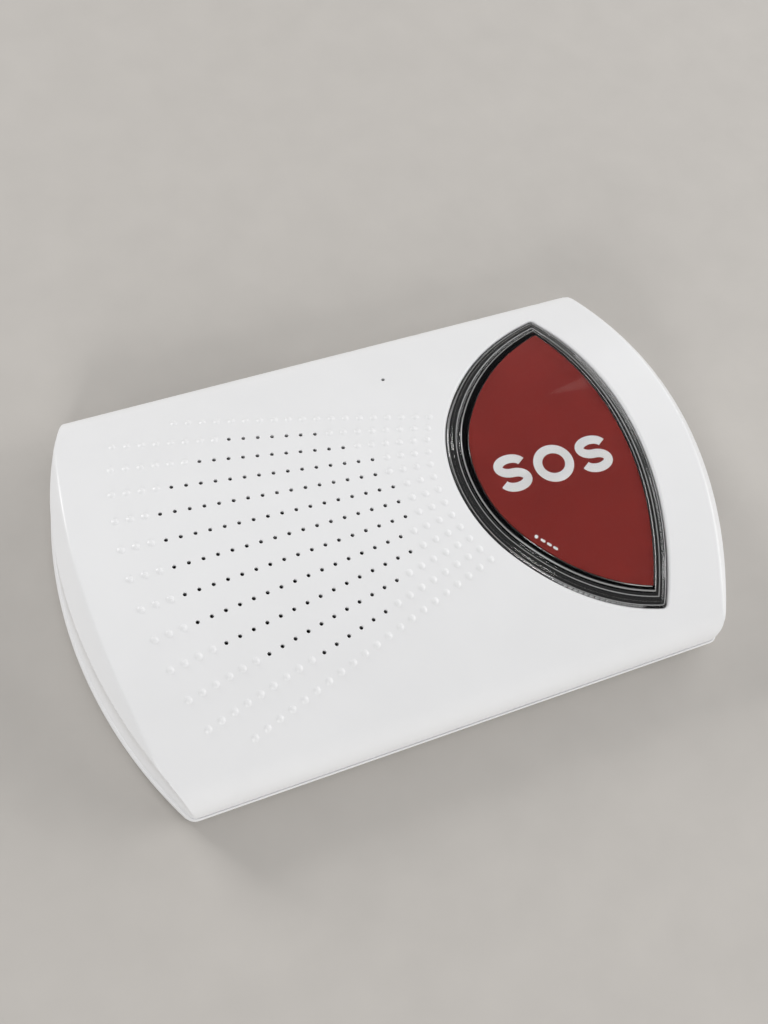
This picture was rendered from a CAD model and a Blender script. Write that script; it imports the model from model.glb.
"""Looks of an emergency-call console: an arched white case with a fan of sound holes and raised dots, and a
large lens-shaped red help button under a clear, stepped cap. Sizes are in millimetres, in the frame of the
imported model: +X to the button's end, +Y to the back with the sockets, +Z up from the table."""

import logging
import math
from dataclasses import dataclass, field
from enum import Enum
from typing import Callable, Sequence

import bmesh
import bpy
import numpy as np
from mathutils import Matrix, Vector
from mathutils.geometry import delaunay_2d_cdt


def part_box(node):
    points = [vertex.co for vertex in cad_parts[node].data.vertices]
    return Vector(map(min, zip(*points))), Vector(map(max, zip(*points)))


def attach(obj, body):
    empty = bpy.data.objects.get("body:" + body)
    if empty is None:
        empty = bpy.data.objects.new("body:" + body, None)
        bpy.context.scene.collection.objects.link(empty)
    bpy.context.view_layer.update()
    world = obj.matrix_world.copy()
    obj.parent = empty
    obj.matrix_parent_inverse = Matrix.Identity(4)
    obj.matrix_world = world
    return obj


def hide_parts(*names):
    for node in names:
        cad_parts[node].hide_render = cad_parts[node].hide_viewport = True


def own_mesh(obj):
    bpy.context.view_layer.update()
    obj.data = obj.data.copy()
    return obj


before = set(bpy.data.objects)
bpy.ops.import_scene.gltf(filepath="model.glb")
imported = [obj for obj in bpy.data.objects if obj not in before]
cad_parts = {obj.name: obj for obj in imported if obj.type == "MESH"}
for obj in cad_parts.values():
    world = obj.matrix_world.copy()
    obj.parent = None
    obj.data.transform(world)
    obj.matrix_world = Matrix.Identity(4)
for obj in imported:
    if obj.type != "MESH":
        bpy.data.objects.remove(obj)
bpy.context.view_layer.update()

MM = 0.001
LOG = logging.getLogger("console")
WELD = 1e-7
ROW_PITCH = 0.87
RIM_LEVELS = 4
RIM_CLEAR = 0.6
PATTERN_LOW, PATTERN_HIGH = 0.3, 0.7

Triple = tuple[float, float, float]
Spot = tuple[float, float]
Pairs = tuple[Spot, ...]
Place = Callable[[np.ndarray, np.ndarray, np.ndarray], np.ndarray]


class Body(Enum):
    """The bodies that carry the scene's own pieces."""

    CASE = "case"
    BUTTON = "help_button"


def arc(centre: Sequence[float], radius: float, start: float, end: float, steps: int) -> np.ndarray:
    """Points along a circular arc.

    Args:
        centre: Centre of the arc.
        radius: Radius of the arc.
        start: First angle, in radians.
        end: Last angle, in radians.
        steps: Number of stretches.

    Returns:
        An array of steps + 1 points.
    """
    angle = np.linspace(start, end, steps + 1)
    return np.stack([centre[0] + radius * np.cos(angle), centre[1] + radius * np.sin(angle)], axis=1)


def circle(centre: Sequence[float], radius: float, steps: int) -> np.ndarray:
    """The corners of a round loop, counter-clockwise."""
    return arc(centre, radius, 0.0, 2.0 * math.pi, steps)[:-1]


def line(start: Sequence[float], end: Sequence[float], steps: int) -> np.ndarray:
    """Evenly spaced points from start to end."""
    share = np.linspace(0.0, 1.0, steps + 1)[:, None]
    return np.asarray(start, float) * (1.0 - share) + np.asarray(end, float) * share


def round_rect(low: Sequence[float], high: Sequence[float], radius: float, steps: int = 5) -> np.ndarray:
    """A rectangle with round corners.

    Args:
        low: Lower corner.
        high: Upper corner.
        radius: Radius of the corners.
        steps: Stretches in each corner.

    Returns:
        The loop's points, counter-clockwise.
    """
    quarter = math.pi / 2.0
    xs = (high[0] - radius, low[0] + radius, low[0] + radius, high[0] - radius)
    ys = (high[1] - radius, high[1] - radius, low[1] + radius, low[1] + radius)
    return np.vstack([arc((x, y), radius, k * quarter, (k + 1) * quarter, steps)
                      for k, (x, y) in enumerate(zip(xs, ys))])


def inset(loop: np.ndarray, by: float) -> np.ndarray:
    """Moves each point of a counter-clockwise loop inward, square to its neighbours' chord.

    Args:
        loop: The loop's points.
        by: Distance inward, negative for outward.

    Returns:
        The moved loop, with as many points.
    """
    chord = np.roll(loop, -1, axis=0) - np.roll(loop, 1, axis=0)
    chord /= np.linalg.norm(chord, axis=1, keepdims=True)
    return loop + by * np.stack([-chord[:, 1], chord[:, 0]], axis=1)


def inside(points: np.ndarray, loop: np.ndarray) -> np.ndarray:
    """Tells which points lie inside a loop.

    Args:
        points: Points to test.
        loop: The loop's corners.

    Returns:
        An array of booleans.
    """
    result = np.zeros(len(points), bool)
    for (x0, y0), (x1, y1) in zip(loop, np.roll(loop, -1, axis=0)):
        if y0 != y1:
            crosses = (y0 > points[:, 1]) != (y1 > points[:, 1])
            result ^= crosses & (points[:, 0] < (x1 - x0) * (points[:, 1] - y0) / (y1 - y0) + x0)
    return result


def distance(points: np.ndarray, loop: np.ndarray) -> np.ndarray:
    """Distance of each point from a closed loop.

    Args:
        points: Points to measure.
        loop: The loop's corners.

    Returns:
        An array of distances, never negative.
    """
    best = np.full(len(points), np.inf)
    for start, end in zip(loop, np.roll(loop, -1, axis=0)):
        along = end - start
        share = np.clip((points - start) @ along / max(along @ along, 1e-12), 0.0, 1.0)
        best = np.minimum(best, np.linalg.norm(points - start - share[:, None] * along, axis=1))
    return best


def lattice(low: Sequence[float], high: Sequence[float], step: float) -> np.ndarray:
    """A field of points with every other row shifted by half a step.

    Args:
        low: Lower corner of the field.
        high: Upper corner of the field.
        step: Distance between neighbours in a row.

    Returns:
        The points.
    """
    rows = []
    for k, y in enumerate(np.arange(low[1], high[1] + step, step * ROW_PITCH)):
        xs = np.arange(low[0] + (k % 2) * step / 2.0, high[0] + step, step)
        rows.append(np.stack([xs, np.full(len(xs), y)], axis=1))
    return np.vstack(rows)


def near_any(points: np.ndarray, centres: np.ndarray) -> np.ndarray:
    """Distance of each point from the nearest of the centres.

    Args:
        points: Points to measure.
        centres: The centres.

    Returns:
        An array of distances.
    """
    best = np.full(len(points), np.inf)
    for c in centres:
        best = np.minimum(best, np.hypot(points[:, 0] - c[0], points[:, 1] - c[1]))
    return best


@dataclass
class Fill:
    """A flat area cut into triangles, with the places of its loops' points."""

    points: np.ndarray
    faces: list[tuple[int, ...]]
    loops: list[np.ndarray]


def fill(loops: Sequence[np.ndarray], free: np.ndarray | None = None) -> Fill:
    """Cuts the area between an outline and its holes into triangles.

    Args:
        loops: The outline first, then the holes.
        free: Further points inside the area.

    Returns:
        The triangles, with the index of each loop's points.
    """
    parts = list(loops) + ([free] if free is not None and len(free) else [])
    points = np.vstack(parts)
    edges: list[tuple[int, int]] = []
    owner = np.full(len(points), -1)
    start = 0
    for k, loop in enumerate(loops):
        count = len(loop)
        owner[start:start + count] = k
        edges += [(start + i, start + (i + 1) % count) for i in range(count)]
        start += count
    corners, _, faces, origin, _, _ = delaunay_2d_cdt([Vector(p) for p in points], edges, [], 1, WELD)
    where = {o: i for i, many in enumerate(origin) for o in many}
    out_owner = np.full(len(corners), -1)
    for o, i in where.items():
        if owner[o] >= 0:
            out_owner[i] = owner[o]
    flat = np.array([c[:] for c in corners])
    keep = []
    for face in faces:
        owners = {int(out_owner[i]) for i in face}
        hole = owners.pop() if len(owners) == 1 else -1
        if hole > 0 and inside(flat[list(face)].mean(axis=0)[None], loops[hole])[0]:
            continue
        keep.append(tuple(face))
    spots, start = [], 0
    for loop in loops:
        spots.append(np.array([where[start + i] for i in range(len(loop))]))
        start += len(loop)
    return Fill(flat, keep, spots)


def upright(x: np.ndarray, y: np.ndarray, z: np.ndarray) -> np.ndarray:
    """Places a flat drawing in plan, with its heights along Z."""
    return np.stack([x, y, z], axis=1)


def facing_back(x: np.ndarray, y: np.ndarray, z: np.ndarray) -> np.ndarray:
    """Places a flat drawing of X and Z, with its heights along Y."""
    return np.stack([x, z, y], axis=1)


def facing_end(x: np.ndarray, y: np.ndarray, z: np.ndarray) -> np.ndarray:
    """Places a flat drawing of Y and Z, with its heights along X."""
    return np.stack([z, x, y], axis=1)


class MeshMaker:
    """Collects points and faces in millimetres and turns them into one Blender object."""

    def __init__(self) -> None:
        """Starts empty."""
        self.points: list[np.ndarray] = []
        self.faces: list[tuple[int, ...]] = []
        self.known: list[tuple[np.ndarray, np.ndarray]] = []
        self.count = 0

    def add(self, points: np.ndarray) -> np.ndarray:
        """Adds points.

        Args:
            points: An array of points in three coordinates.

        Returns:
            Their indices.
        """
        self.points.append(np.asarray(points, float))
        self.count += len(points)
        return np.arange(self.count - len(points), self.count)

    def strip(self, first: np.ndarray, second: np.ndarray, closed: bool = True) -> None:
        """Joins two rows of as many points by a band of faces.

        Args:
            first: Indices of the first row.
            second: Indices of the second row.
            closed: Whether the band runs all the way round.
        """
        last = len(first) if closed else len(first) - 1
        for i in range(last):
            j = (i + 1) % len(first)
            self.faces.append((int(first[i]), int(first[j]), int(second[j]), int(second[i])))

    def rows(self, rows: Sequence[np.ndarray], closed: bool = True) -> None:
        """Joins each row to the next."""
        for first, second in zip(rows, rows[1:]):
            self.strip(first, second, closed)

    def polygon(self, indices: Sequence[int]) -> None:
        """Adds one face."""
        self.faces.append(tuple(int(i) for i in indices))

    def caps(self, rows: Sequence[Sequence[int]]) -> None:
        """Closes the first and the last row with a face each."""
        self.polygon(rows[0])
        self.polygon(rows[-1])

    def cheeks(self, rows: Sequence[np.ndarray]) -> None:
        """Closes both ends of open bands with a face each."""
        self.caps([[row[0] for row in rows], [row[-1] for row in rows]])

    def ring(self, loop: np.ndarray, z: float, place: Place = upright) -> np.ndarray:
        """Adds the points of a drawn loop at one height, and tells their indices."""
        return self.add(place(*loop.T, np.full(len(loop), z)))

    def level(self, area: Fill, z: float, place: Place = upright) -> list[np.ndarray]:
        """Adds a filled area at one height, and tells the indices of each loop's points."""
        return self.sheet(area, place(*area.points.T, np.full(len(area.points), z)))

    def sheet(self, area: Fill, points: np.ndarray) -> list[np.ndarray]:
        """Adds a filled area whose points have been lifted.

        Args:
            area: The filled area.
            points: Its points in three coordinates.

        Returns:
            The indices of each loop's points.
        """
        index = self.add(points)
        self.faces += [tuple(int(index[i]) for i in face) for face in area.faces]
        return [index[spots] for spots in area.loops]

    def slab(self, outline: np.ndarray, holes: Sequence[np.ndarray], low: float, high: float,
             soft: float = 0.2, place: Place = upright, grid: float = 0.0) -> None:
        """Adds a closed plate with rounded rims.

        Args:
            outline: Outline of the plate, counter-clockwise.
            holes: Holes through it, counter-clockwise.
            low: Height of its lower face.
            high: Height of its upper face.
            soft: Radius of its rims.
            place: Puts the drawing where it belongs.
            grid: Spacing of further points inside, for a plate that bends.
        """
        turn = np.linspace(0.0, math.pi / 2.0, RIM_LEVELS)
        levels = [(soft * (1.0 - math.sin(a)), low + soft * (1.0 - math.cos(a))) for a in turn]
        levels += [(back, low + high - z) for back, z in reversed(levels)]
        loops = [outline, *holes]
        free = None
        if grid:
            free = lattice(outline.min(axis=0), outline.max(axis=0), grid)
            free = free[inside(free, outline) & (distance(free, outline) > RIM_CLEAR * grid)]
            for hole in holes:
                free = free[~inside(free, hole) & (distance(free, hole) > RIM_CLEAR * grid)]
        rims: list[list[np.ndarray]] = []
        for k, loop in enumerate(loops):
            rims.append([inset(loop, back if k == 0 else -back) for back, _ in levels])
        ends = []
        for level in (0, -1):
            ends.append(self.level(fill([rim[level] for rim in rims], free), levels[level][1], place))
        for k, rim in enumerate(rims):
            between = [self.ring(loop, z, place) for loop, (_, z) in list(zip(rim, levels))[1:-1]]
            self.rows([ends[0][k], *between, ends[1][k]])

    def lathe(self, profile: Sequence[Spot], steps: int, centre: Sequence[float]) -> None:
        """Adds a turned piece, closed at both ends.

        Args:
            profile: Radius and height of each turned ring, from one end to the other.
            steps: Corners of each ring.
            centre: Place of its axis in plan.
        """
        rings = [self.ring(circle(centre, radius, steps), height) for radius, height in profile]
        self.rows(rings)
        self.caps(rings)

    def know(self, index: np.ndarray, normals: np.ndarray) -> None:
        """Keeps the true surface directions of some points, for smooth shading."""
        self.known.append((index, normals))

    def finish(self, name: str, sharp: float = 50.0) -> bpy.types.Object:
        """Makes the object.

        Args:
            name: Name of the piece.
            sharp: Edges steeper than this, in degrees, stay sharp.

        Returns:
            The new object, linked to the scene.
        """
        mesh = bpy.data.meshes.new(name)
        points = np.vstack(self.points) * MM
        mesh.from_pydata(points.tolist(), [], self.faces)
        work = bmesh.new()
        work.from_mesh(mesh)
        bmesh.ops.recalc_face_normals(work, faces=work.faces)
        work.to_mesh(mesh)
        work.free()
        mesh.polygons.foreach_set("use_smooth", [True] * len(mesh.polygons))
        mesh.set_sharp_from_angle(angle=math.radians(sharp))
        if self.known:
            normals = np.zeros((len(points), 3))
            for index, known in self.known:
                normals[index] = known
            mesh.normals_split_custom_set_from_vertices(normals.tolist())
        piece = bpy.data.objects.new(name, mesh)
        bpy.context.scene.collection.objects.link(piece)
        return piece


class Shader:
    """The node tree of one finish."""

    def __init__(self, name: str) -> None:
        """Starts a material with its main shader.

        Args:
            name: Name of the finish.
        """
        self.material = bpy.data.materials.new(name)
        self.material.use_nodes = True
        self.tree = self.material.node_tree
        self.main = self.tree.nodes["Principled BSDF"]
        self.place = self.tree.nodes.new("ShaderNodeTexCoord")

    def set(self, **values: object) -> None:
        """Sets sockets of the main shader, with underscores for the spaces in their names."""
        for name, value in values.items():
            self.main.inputs[name.replace("_", " ")].default_value = value

    def link(self, source: bpy.types.NodeSocket, name: str) -> None:
        """Links a value to a socket of the main shader."""
        self.tree.links.new(source, self.main.inputs[name])

    def noise(self, scale: float, detail: float = 2.0, stretch: Triple = (1.0, 1.0, 1.0)) -> bpy.types.NodeSocket:
        """A cloudy pattern fixed to the object.

        Args:
            scale: Number of clouds in a metre.
            detail: Number of finer layers.
            stretch: How much the pattern is drawn out along each axis.

        Returns:
            The pattern's value, from 0 to 1.
        """
        warp = self.tree.nodes.new("ShaderNodeMapping")
        warp.inputs["Scale"].default_value = stretch
        node = self.tree.nodes.new("ShaderNodeTexNoise")
        node.inputs["Scale"].default_value = scale
        node.inputs["Detail"].default_value = detail
        self.tree.links.new(self.place.outputs["Object"], warp.inputs["Vector"])
        self.tree.links.new(warp.outputs["Vector"], node.inputs["Vector"])
        return node.outputs["Fac"]

    def spread(self, source: bpy.types.NodeSocket, low: float, high: float) -> bpy.types.NodeSocket:
        """Maps the middle of a pattern to a range.

        Args:
            source: The pattern.
            low: Value at the pattern's lower end.
            high: Value at its upper end.

        Returns:
            The mapped value.
        """
        node = self.tree.nodes.new("ShaderNodeMapRange")
        ends = {"From Min": PATTERN_LOW, "From Max": PATTERN_HIGH, "To Min": low, "To Max": high}
        for name, value in ends.items():
            node.inputs[name].default_value = value
        self.tree.links.new(source, node.inputs["Value"])
        return node.outputs["Result"]

    def tint(self, source: bpy.types.NodeSocket, dark: Triple, light: Triple) -> bpy.types.NodeSocket:
        """Runs between two colours with a pattern.

        Args:
            source: The pattern.
            dark: Triple at the pattern's lower end.
            light: Triple at its upper end.

        Returns:
            The mixed colour.
        """
        node = self.tree.nodes.new("ShaderNodeMix")
        node.data_type = "RGBA"
        # The colours of a mix are its inputs 6 and 7 and its output 2.
        node.inputs[6].default_value = (*dark, 1.0)
        node.inputs[7].default_value = (*light, 1.0)
        self.tree.links.new(self.spread(source, 0.0, 1.0), node.inputs[0])
        return node.outputs[2]

    def bump(self, source: bpy.types.NodeSocket, strength: float, depth: float) -> None:
        """Roughens the surface with a pattern.

        Args:
            source: The pattern.
            strength: Share of the relief that shows.
            depth: Height of the relief, in metres.
        """
        node = self.tree.nodes.new("ShaderNodeBump")
        node.inputs["Strength"].default_value = strength
        node.inputs["Distance"].default_value = depth
        self.tree.links.new(source, node.inputs["Height"])
        self.link(node.outputs["Normal"], "Normal")


@dataclass(frozen=True)
class Finish:
    """A finish with a little drift of colour and gloss, and a fine grain."""

    name: str
    colour: Triple
    roughness: float
    metallic: float = 0.0
    drift: float = 0.04
    gloss_drift: float = 0.06
    grain: float = 0.15
    grain_scale: float = 2500.0
    grain_depth: float = 0.00002
    cloud_scale: float = 60.0
    cloud_detail: float = 3.0
    gloss_scale: float = 220.0
    stretch: Triple = (1.0, 1.0, 1.0)
    clear: float = 0.0
    refraction: float = 1.5
    shine: float = 0.5

    def material(self) -> bpy.types.Material:
        """Builds the finish's material once.

        Returns:
            The material.
        """
        known = bpy.data.materials.get(self.name)
        if known:
            return known
        shader = Shader(self.name)
        shader.set(Metallic=self.metallic, Transmission_Weight=self.clear, IOR=self.refraction,
                   Specular_IOR_Level=self.shine)
        cloud = shader.noise(self.cloud_scale, self.cloud_detail, self.stretch)
        dark = tuple(c * (1.0 - self.drift) for c in self.colour)
        light = tuple(min(c * (1.0 + self.drift), 1.0) for c in self.colour)
        shader.link(shader.tint(cloud, dark, light), "Base Color")
        low, high = self.roughness * (1.0 - self.gloss_drift), self.roughness * (1.0 + self.gloss_drift)
        shader.link(shader.spread(shader.noise(self.gloss_scale, stretch=self.stretch), low, high), "Roughness")
        shader.bump(shader.noise(self.grain_scale, stretch=self.stretch), self.grain, self.grain_depth)
        return shader.material


WHITE = Finish("satin_white_plastic", (0.80, 0.80, 0.805), 0.36, drift=0.01, grain=0.08)
CLEAR = Finish("clear_acrylic", (0.97, 0.985, 0.98), 0.03, drift=0.005, grain=0.02, clear=1.0, refraction=1.62)
EDGE = Finish("softened_acrylic_edge", (0.9, 0.9, 0.9), 0.2, drift=0.01, grain=0.05, clear=0.7, refraction=1.62)
WINDOW = Finish("coated_acrylic", (0.99, 0.99, 0.99), 0.03, drift=0.005, grain=0.02, clear=1.0, refraction=1.15)
MASK = Finish("black_mask_print", (0.008, 0.008, 0.009), 0.7, shine=0.0)
RED = Finish("matte_red_film", (0.25, 0.025, 0.02), 0.7, drift=0.05, grain=0.2, shine=0.15)
PRINT = Finish("white_print", (0.88, 0.88, 0.88), 0.6, drift=0.01, shine=0.15)
BLACK = Finish("black_plastic", (0.012, 0.012, 0.013), 0.42)
IVORY = Finish("natural_nylon", (0.72, 0.67, 0.55), 0.45)
LAMP = Finish("red_tinted_epoxy", (0.55, 0.02, 0.015), 0.12, clear=0.5)
GUIDE = Finish("light_guide_acrylic", (0.95, 0.96, 0.95), 0.08, clear=0.9, refraction=1.49)
BOARD = Finish("green_solder_mask", (0.01, 0.11, 0.035), 0.3, drift=0.15)
CHIP = Finish("moulded_epoxy", (0.012, 0.012, 0.013), 0.6, grain=0.4)
TIN = Finish("tinned_steel", (0.70, 0.70, 0.68), 0.3, 1.0, stretch=(1.0, 8.0, 1.0))
BRASS = Finish("drawn_brass", (0.72, 0.48, 0.18), 0.25, 1.0, stretch=(1.0, 8.0, 8.0))
BASKET = Finish("dark_painted_steel", (0.03, 0.03, 0.032), 0.45, grain=0.4)
PAPER = Finish("pressed_black_paper", (0.015, 0.015, 0.015), 0.85, grain=0.8, grain_scale=1200.0)
ZINC = Finish("zinc_plated_steel", (0.62, 0.63, 0.65), 0.28, 1.0, drift=0.08)
FOAM = Finish("closed_cell_foam", (0.02, 0.02, 0.02), 0.95, grain=1.0, grain_scale=1500.0)
ALUMINIUM = Finish("drawn_aluminium", (0.75, 0.75, 0.76), 0.3, 1.0)
RUBBER = Finish("soft_rubber", (0.035, 0.035, 0.037), 0.75, grain=0.5)
SLEEVE = Finish("blue_shrink_sleeve", (0.02, 0.09, 0.33), 0.25)
NICKEL = Finish("bright_nickel", (0.72, 0.69, 0.62), 0.18, 1.0)
RIBBON = Finish("grey_ribbon", (0.35, 0.35, 0.36), 0.5, stretch=(1.0, 30.0, 1.0))
FLOOR = Finish("pale_floor", (0.50, 0.475, 0.445), 0.6, drift=0.02, grain=0.05)


def dress(piece: bpy.types.Object, finish: Finish) -> None:
    """Gives a piece its finish."""
    piece.data.materials.clear()
    piece.data.materials.append(finish.material())


def mount(piece: bpy.types.Object, finish: Finish, body: Body, slot: str, *nodes: str) -> bpy.types.Object:
    """Finishes a piece, lets it ride on its body and lets it stand for solids of the model.

    Args:
        piece: The piece.
        finish: Its finish.
        body: The body that it moves with.
        slot: The record's material slot.
        nodes: Names of the solids that it stands for.

    Returns:
        The piece.
    """
    dress(piece, finish)
    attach(piece, body.value)
    if nodes:
        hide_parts(*nodes)
    LOG.info("%s: %d points, rides on %s", piece.name, len(piece.data.vertices), body.value)
    return piece


@dataclass(frozen=True)
class CaseForm:
    """Outer form of the case: an arch with rolled shoulders, bevelled ends and a lip below."""

    length: float
    depth: float
    height: float
    arch_r: float = 120.0
    shoulder: float = 59.5
    side_in: float = 0.6
    end_r: float = 141.0
    button_end_r: float = 178.0
    wall: float = 2.5
    lip_out: float = 0.9
    lip_low: float = 5.5
    lip_high: float = 7.0
    bevel_in: float = 4.6
    bevel_r: float = 88.0
    bevel_angle: float = math.radians(52.0)
    crease_round: float = 0.8
    edge_round: float = 0.18
    corner_r: float = 3.0
    bay_low: float = -66.0
    bay_high: float = -11.0
    bay_top: float = 14.2
    bay_face: float = 54.0
    end_steps: int = 80
    corner_steps: int = 8
    back_steps: int = 34
    cheek_steps: int = 8
    bay_steps: int = 22
    tail_steps: int = 8
    front_steps: int = 64

    @property
    def end_x(self) -> float:
        """Distance of the end walls from the middle."""
        return self.length / 2.0 - self.lip_out

    @property
    def axis_z(self) -> float:
        """Height of the arch's axis."""
        return self.height - self.arch_r

    @property
    def lean(self) -> float:
        """Angle at which the arch runs into its shoulders."""
        return math.asin(self.shoulder / self.arch_r)

    @property
    def roll(self) -> Triple:
        """Works out the shoulders' rounding.

        Returns:
            Radius, distance from the mid line and height of its axis.
        """
        side = self.depth / 2.0 - self.side_in
        radius = (side - self.shoulder) / (1.0 - math.sin(self.lean))
        return radius, side - radius, self.axis_z + (self.arch_r - radius) * math.cos(self.lean)

    def arch(self, y: np.ndarray) -> np.ndarray:
        """Height of the arch."""
        return self.axis_z + np.sqrt(self.arch_r ** 2 - np.square(y))

    def section(self, y: np.ndarray, off: float = 0.0) -> np.ndarray:
        """Height of the arch and its shoulders.

        Args:
            y: Distances from the mid line.
            off: How far the surface is moved out.

        Returns:
            The heights.
        """
        radius, at, up = self.roll
        side = np.abs(y)
        rolled = up + np.sqrt(np.maximum((radius + off) ** 2 - np.square(side - at), 0.0))
        arched = self.axis_z + np.sqrt(np.maximum((self.arch_r + off) ** 2 - np.square(side), 0.0))
        return np.where(side < (self.arch_r + off) * math.sin(self.lean), arched, rolled)

    def side_at(self, z: float, off: float = 0.0) -> float:
        """Distance from the mid line at which the shoulder has come down to a height."""
        radius, at, up = self.roll
        return at + math.sqrt((radius + off) ** 2 - max(z - up, 0.0) ** 2)

    def bevel(self, x: np.ndarray, y: np.ndarray, off: float = 0.0) -> np.ndarray:
        """Height of the end bevels' cones.

        Args:
            x: Distances from the middle.
            y: Distances from the mid line.
            off: How far the surface is moved out.

        Returns:
            The heights.
        """
        axis = self.end_x - self.bevel_in - self.bevel_r
        out = np.hypot(np.abs(x) - axis, y) - self.bevel_r - off / math.sin(self.bevel_angle)
        return self.height - out * math.tan(self.bevel_angle)

    def crown(self, x: np.ndarray, y: np.ndarray) -> np.ndarray:
        """Height of the top with its rounded creases.

        Args:
            x: Distances from the middle.
            y: Distances from the mid line.

        Returns:
            The heights.
        """
        top, end = self.section(y), self.bevel(x, y)
        near = np.maximum(self.crease_round - np.abs(top - end), 0.0)
        return np.minimum(top, end) - near ** 2 / (4.0 * self.crease_round)

    def under(self, x: np.ndarray, y: np.ndarray) -> np.ndarray:
        """Height of the inner skin."""
        return np.minimum(self.section(y, -self.wall), self.bevel(x, y, -self.wall))

    def crown_normal(self, x: np.ndarray, y: np.ndarray, step: float = 0.02) -> np.ndarray:
        """Direction of the top's surface.

        Args:
            x: Distances from the middle.
            y: Distances from the mid line.
            step: Distance over which the slope is taken.

        Returns:
            The unit normals.
        """
        dx = (self.crown(x + step, y) - self.crown(x - step, y)) / (2.0 * step)
        dy = (self.crown(x, y + step) - self.crown(x, y - step)) / (2.0 * step)
        normal = np.stack([-dx, -dy, np.ones_like(dx)], axis=1)
        return normal / np.linalg.norm(normal, axis=1, keepdims=True)

    def corner(self, half_l: float, half_d: float, corner_r: float, side: float) -> tuple[float, float, float, float]:
        """Works out one end of a plan outline.

        Args:
            half_l: Half length of the outline at the mid line.
            half_d: Half depth of the outline.
            corner_r: Radius of its corners.
            side: Above 0 for the button's end, below for the grille's.

        Returns:
            Both distances of the corner's centre, the angle at which the end arc meets it, and the arc's radius.
        """
        end_r = (self.button_end_r if side > 0.0 else self.end_r) - self.length / 2.0 + half_l
        cy = half_d - corner_r
        cx = half_l - end_r + math.sqrt((end_r - corner_r) ** 2 - cy ** 2)
        return cx, cy, math.asin(cy / (end_r - corner_r)), end_r

    def outline(self, half_l: float, half_d: float, corner_r: float, notch: float) -> np.ndarray:
        """Plan outline with round corners and a notch at the connector bay.

        Args:
            half_l: Half length at the mid line.
            half_d: Half depth.
            corner_r: Radius of the corners.
            notch: Distance of the notch's floor from the mid line.

        Returns:
            The loop, counter-clockwise, always with as many points.
        """
        right, cy, right_lean, right_r = self.corner(half_l, half_d, corner_r, 1.0)
        left, _, left_lean, left_r = self.corner(half_l, half_d, corner_r, -1.0)
        up, full = math.pi / 2.0, math.pi
        low, high = self.bay_low, self.bay_high
        runs = [
            arc((half_l - right_r, 0.0), right_r, -right_lean, right_lean, self.end_steps),
            arc((right, cy), corner_r, right_lean, up, self.corner_steps),
            line((right, half_d), (high, half_d), self.back_steps),
            line((high, half_d), (high, notch), self.cheek_steps),
            line((high, notch), (low, notch), self.bay_steps),
            line((low, notch), (low, half_d), self.cheek_steps),
            line((low, half_d), (-left, half_d), self.tail_steps),
            arc((-left, cy), corner_r, up, full - left_lean, self.corner_steps),
            arc((left_r - half_l, 0.0), left_r, full - left_lean, full + left_lean, self.end_steps),
            arc((-left, -cy), corner_r, full + left_lean, 3.0 * up, self.corner_steps),
            line((-left, -half_d), (right, -half_d), self.front_steps),
            arc((right, -cy), corner_r, 3.0 * up, 2.0 * full - right_lean, self.corner_steps),
        ]
        return np.vstack([run[:-1] for run in runs])

    @property
    def bay_span(self) -> tuple[int, int]:
        """Indices of the outline's points at the two mouths of the bay."""
        first = self.end_steps + self.corner_steps + self.back_steps
        return first, first + 2 * self.cheek_steps + self.bay_steps

    def around(self) -> np.ndarray:
        """Follows the outline from one mouth of the bay, round the case, to the other.

        Returns:
            The indices of its points.
        """
        first, last = self.bay_span
        count = last + self.tail_steps + 3 * self.corner_steps + self.end_steps + self.front_steps
        return np.r_[last:count, 0:first + 1]

    def edge_gap(self, x: np.ndarray, y: np.ndarray, half_d: float) -> tuple[np.ndarray, np.ndarray]:
        """Measures how far points lie from the end walls.

        Args:
            x: Distances from the middle.
            y: Distances from the mid line.
            half_d: Half depth of the outline.

        Returns:
            The distances, and how much of the edge's rounding applies there.
        """
        gap, share = np.zeros_like(x), np.ones_like(x)
        up = np.abs(y)
        for side in (-1.0, 1.0):
            cx, cy, lean, end_r = self.corner(self.end_x, half_d, self.corner_r, side)
            out = side * x
            turn = np.arctan2(up - cy, out - cx)
            at_corner = (up > cy) & (turn > lean)
            plain = end_r - np.hypot(out - self.end_x + end_r, y)
            far = np.where(at_corner, self.corner_r - np.hypot(out - cx, up - cy), plain)
            fade = np.clip((math.pi / 2.0 - turn) / (math.pi / 2.0 - lean), 0.0, 1.0)
            gap = np.where(out >= 0.0, np.maximum(far, 0.0), gap)
            share = np.where((out >= 0.0) & at_corner, fade, share)
        return gap, share


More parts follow.
